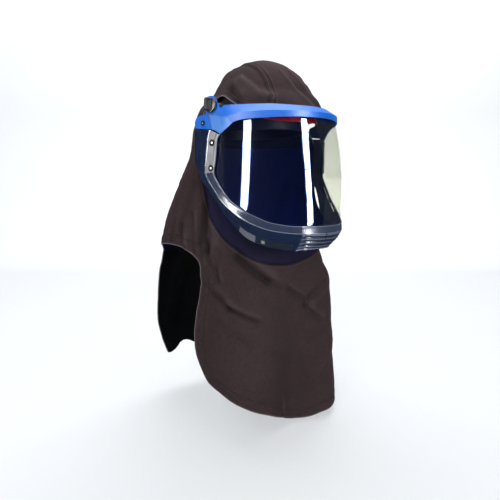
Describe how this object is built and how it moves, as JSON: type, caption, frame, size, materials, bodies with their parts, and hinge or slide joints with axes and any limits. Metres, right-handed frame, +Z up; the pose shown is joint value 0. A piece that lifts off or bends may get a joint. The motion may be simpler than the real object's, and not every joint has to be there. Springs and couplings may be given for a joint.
{
  "type": "arc flash hood",
  "caption": "Arc flash hood with cloth front and back bibs over a hard cap, a wrap-round face shield, brow guard and chin cup.",
  "frame": {"origin": "crown of the wearer's head inside the cap, where the crown straps rest on it", "axes": "+Z up the wearer's body axis, -Y the way the wearer faces, +X to the wearer's left"},
  "size_m": [0.362, 0.4105, 0.7347],
  "materials": {
    "outer_cloth": "matt close-woven brown-grey cloth",
    "lining_cloth": "black lining cloth with a slight sheen",
    "collar_cloth": "matt navy cloth",
    "lens": "clear polished sheet with a faint yellow-green tint",
    "guard_plastic": "bright blue moulded plastic, satin gloss",
    "cup_plastic": "clear bluish moulded plastic",
    "plate_plastic": "translucent grey plastic",
    "stud_metal": "bright metal rivet",
    "knob_plastic": "black moulded plastic",
    "cap_plastic": "red moulded plastic",
    "adapter_plastic": "black moulded plastic",
    "band_plastic": "dark grey flexible plastic"
  },
  "bodies": {
    "root": {"hood_shell": "outer_cloth", "hood_lining": "lining_cloth", "window_collar": "collar_cloth", "face_shield": "lens", "brow_guard": "guard_plastic", "chin_cup": "cup_plastic", "side_plate_right": "plate_plastic", "side_plate_left": "plate_plastic", "lens_rivet_upper_right": "stud_metal", "lens_rivet_lower_right": "stud_metal", "lens_rivet_upper_left": "stud_metal", "lens_rivet_lower_left": "stud_metal", "ear_pin_right": "stud_metal", "ear_pin_left": "stud_metal", "hard_cap": "cap_plastic", "cap_adapter_right": "adapter_plastic", "cap_adapter_left": "adapter_plastic", "headband": "band_plastic", "band_key_1": "adapter_plastic", "band_key_2": "adapter_plastic", "band_key_3": "adapter_plastic", "band_key_4": "adapter_plastic"},
    "knob_right_body": {"knob_right": "knob_plastic"},
    "knob_left_body": {"knob_left": "knob_plastic"}
  },
  "joints": [
    {"name": "knob_right_turn", "type": "hinge", "parent": "root", "child": "knob_right_body", "pos_m": [-0.13364, -0.02885, -0.057], "axis": [-0.944, -0.3051, 0.1255], "continuous": true},
    {"name": "knob_left_turn", "type": "hinge", "parent": "root", "child": "knob_left_body", "pos_m": [0.13364, -0.02885, -0.057], "axis": [0.944, -0.3051, 0.1255], "continuous": true}
  ]
}
